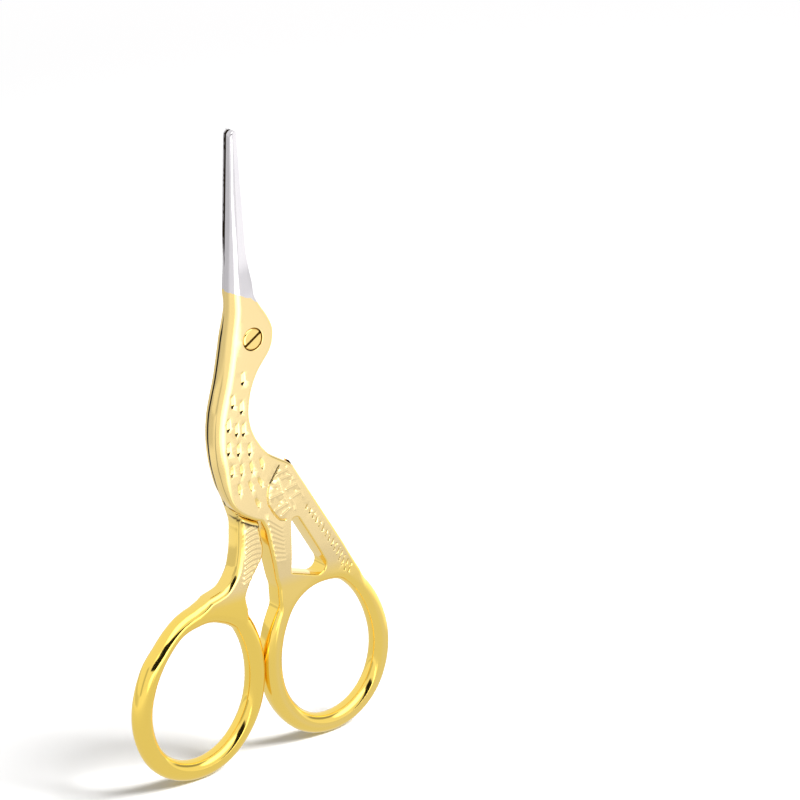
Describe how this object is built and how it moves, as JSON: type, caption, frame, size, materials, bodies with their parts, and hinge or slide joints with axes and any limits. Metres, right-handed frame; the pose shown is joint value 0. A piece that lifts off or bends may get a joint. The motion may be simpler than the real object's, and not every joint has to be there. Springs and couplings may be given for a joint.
{
  "type": "stork embroidery scissors",
  "caption": "Small embroidery scissors shaped as a standing stork, its beak forming the blades, with oval finger rings and a slotted pivot screw at the eye.",
  "frame": {"origin": "on the ground line midway between the two finger rings, in the plane where the two halves slide on each other", "axes": "+Z from the finger rings up to the tip of the beak, +X across the two rings to the ring under the tail, +Y through the thickness towards the back"},
  "size_m": [0.045, 0.0038, 0.094],
  "materials": {
    "gold_plated_steel": "steel with polished pale gold plating, bare satin steel along the blades",
    "gold_plated_screw": "steel with polished gold plating"
  },
  "bodies": {
    "rear": {"rear_half": "gold_plated_steel", "pivot_screw": "gold_plated_screw"},
    "front": {"front_half": "gold_plated_steel"}
  },
  "joints": [
    {"name": "blade_hinge", "type": "hinge", "parent": "rear", "child": "front", "pos_m": [-0.0013, 0, 0.06445], "axis": [0, -1, 0], "range_deg": [0, 70]}
  ]
}
